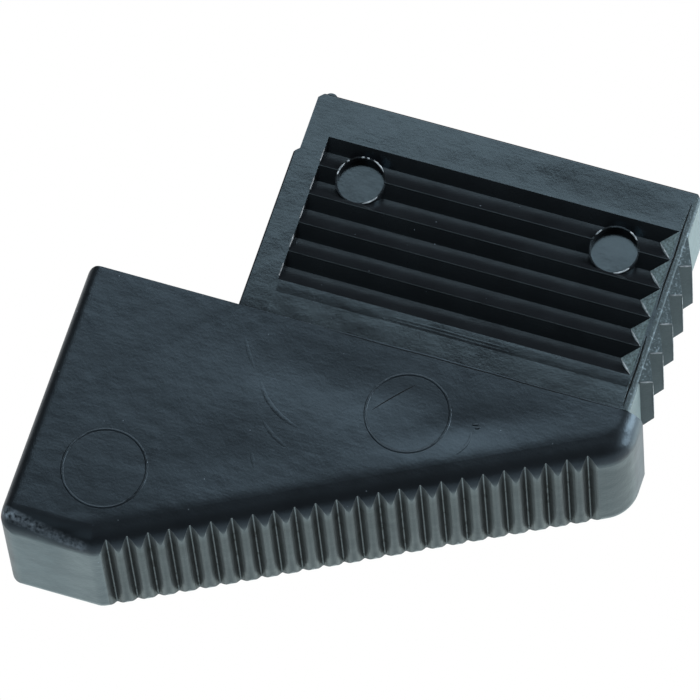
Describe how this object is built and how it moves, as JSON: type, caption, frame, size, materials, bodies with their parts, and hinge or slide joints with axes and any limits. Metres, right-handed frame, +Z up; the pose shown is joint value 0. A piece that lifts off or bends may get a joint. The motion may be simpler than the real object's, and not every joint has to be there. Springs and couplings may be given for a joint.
{
  "type": "ladder foot",
  "caption": "Black moulded ladder foot: a ribbed, barbed plug for a hollow stile, on a wedge-shaped shoe with a grooved sole.",
  "frame": {"origin": "middle of the foot's bounding box, on the ground plane under the sole", "axes": "+Z up from the ground; +X from the heel to the toe, the way the stile leans; +Y from the ribbed front face to the plain back face"},
  "size_m": [0.1232, 0.0282, 0.0744],
  "materials": {
    "plug_plastic": "satin black, moulded",
    "shoe_rubber": "satin black, moulded"
  },
  "bodies": {
    "root": {"stile_plug": "plug_plastic", "foot_shoe": "shoe_rubber"}
  },
  "joints": []
}
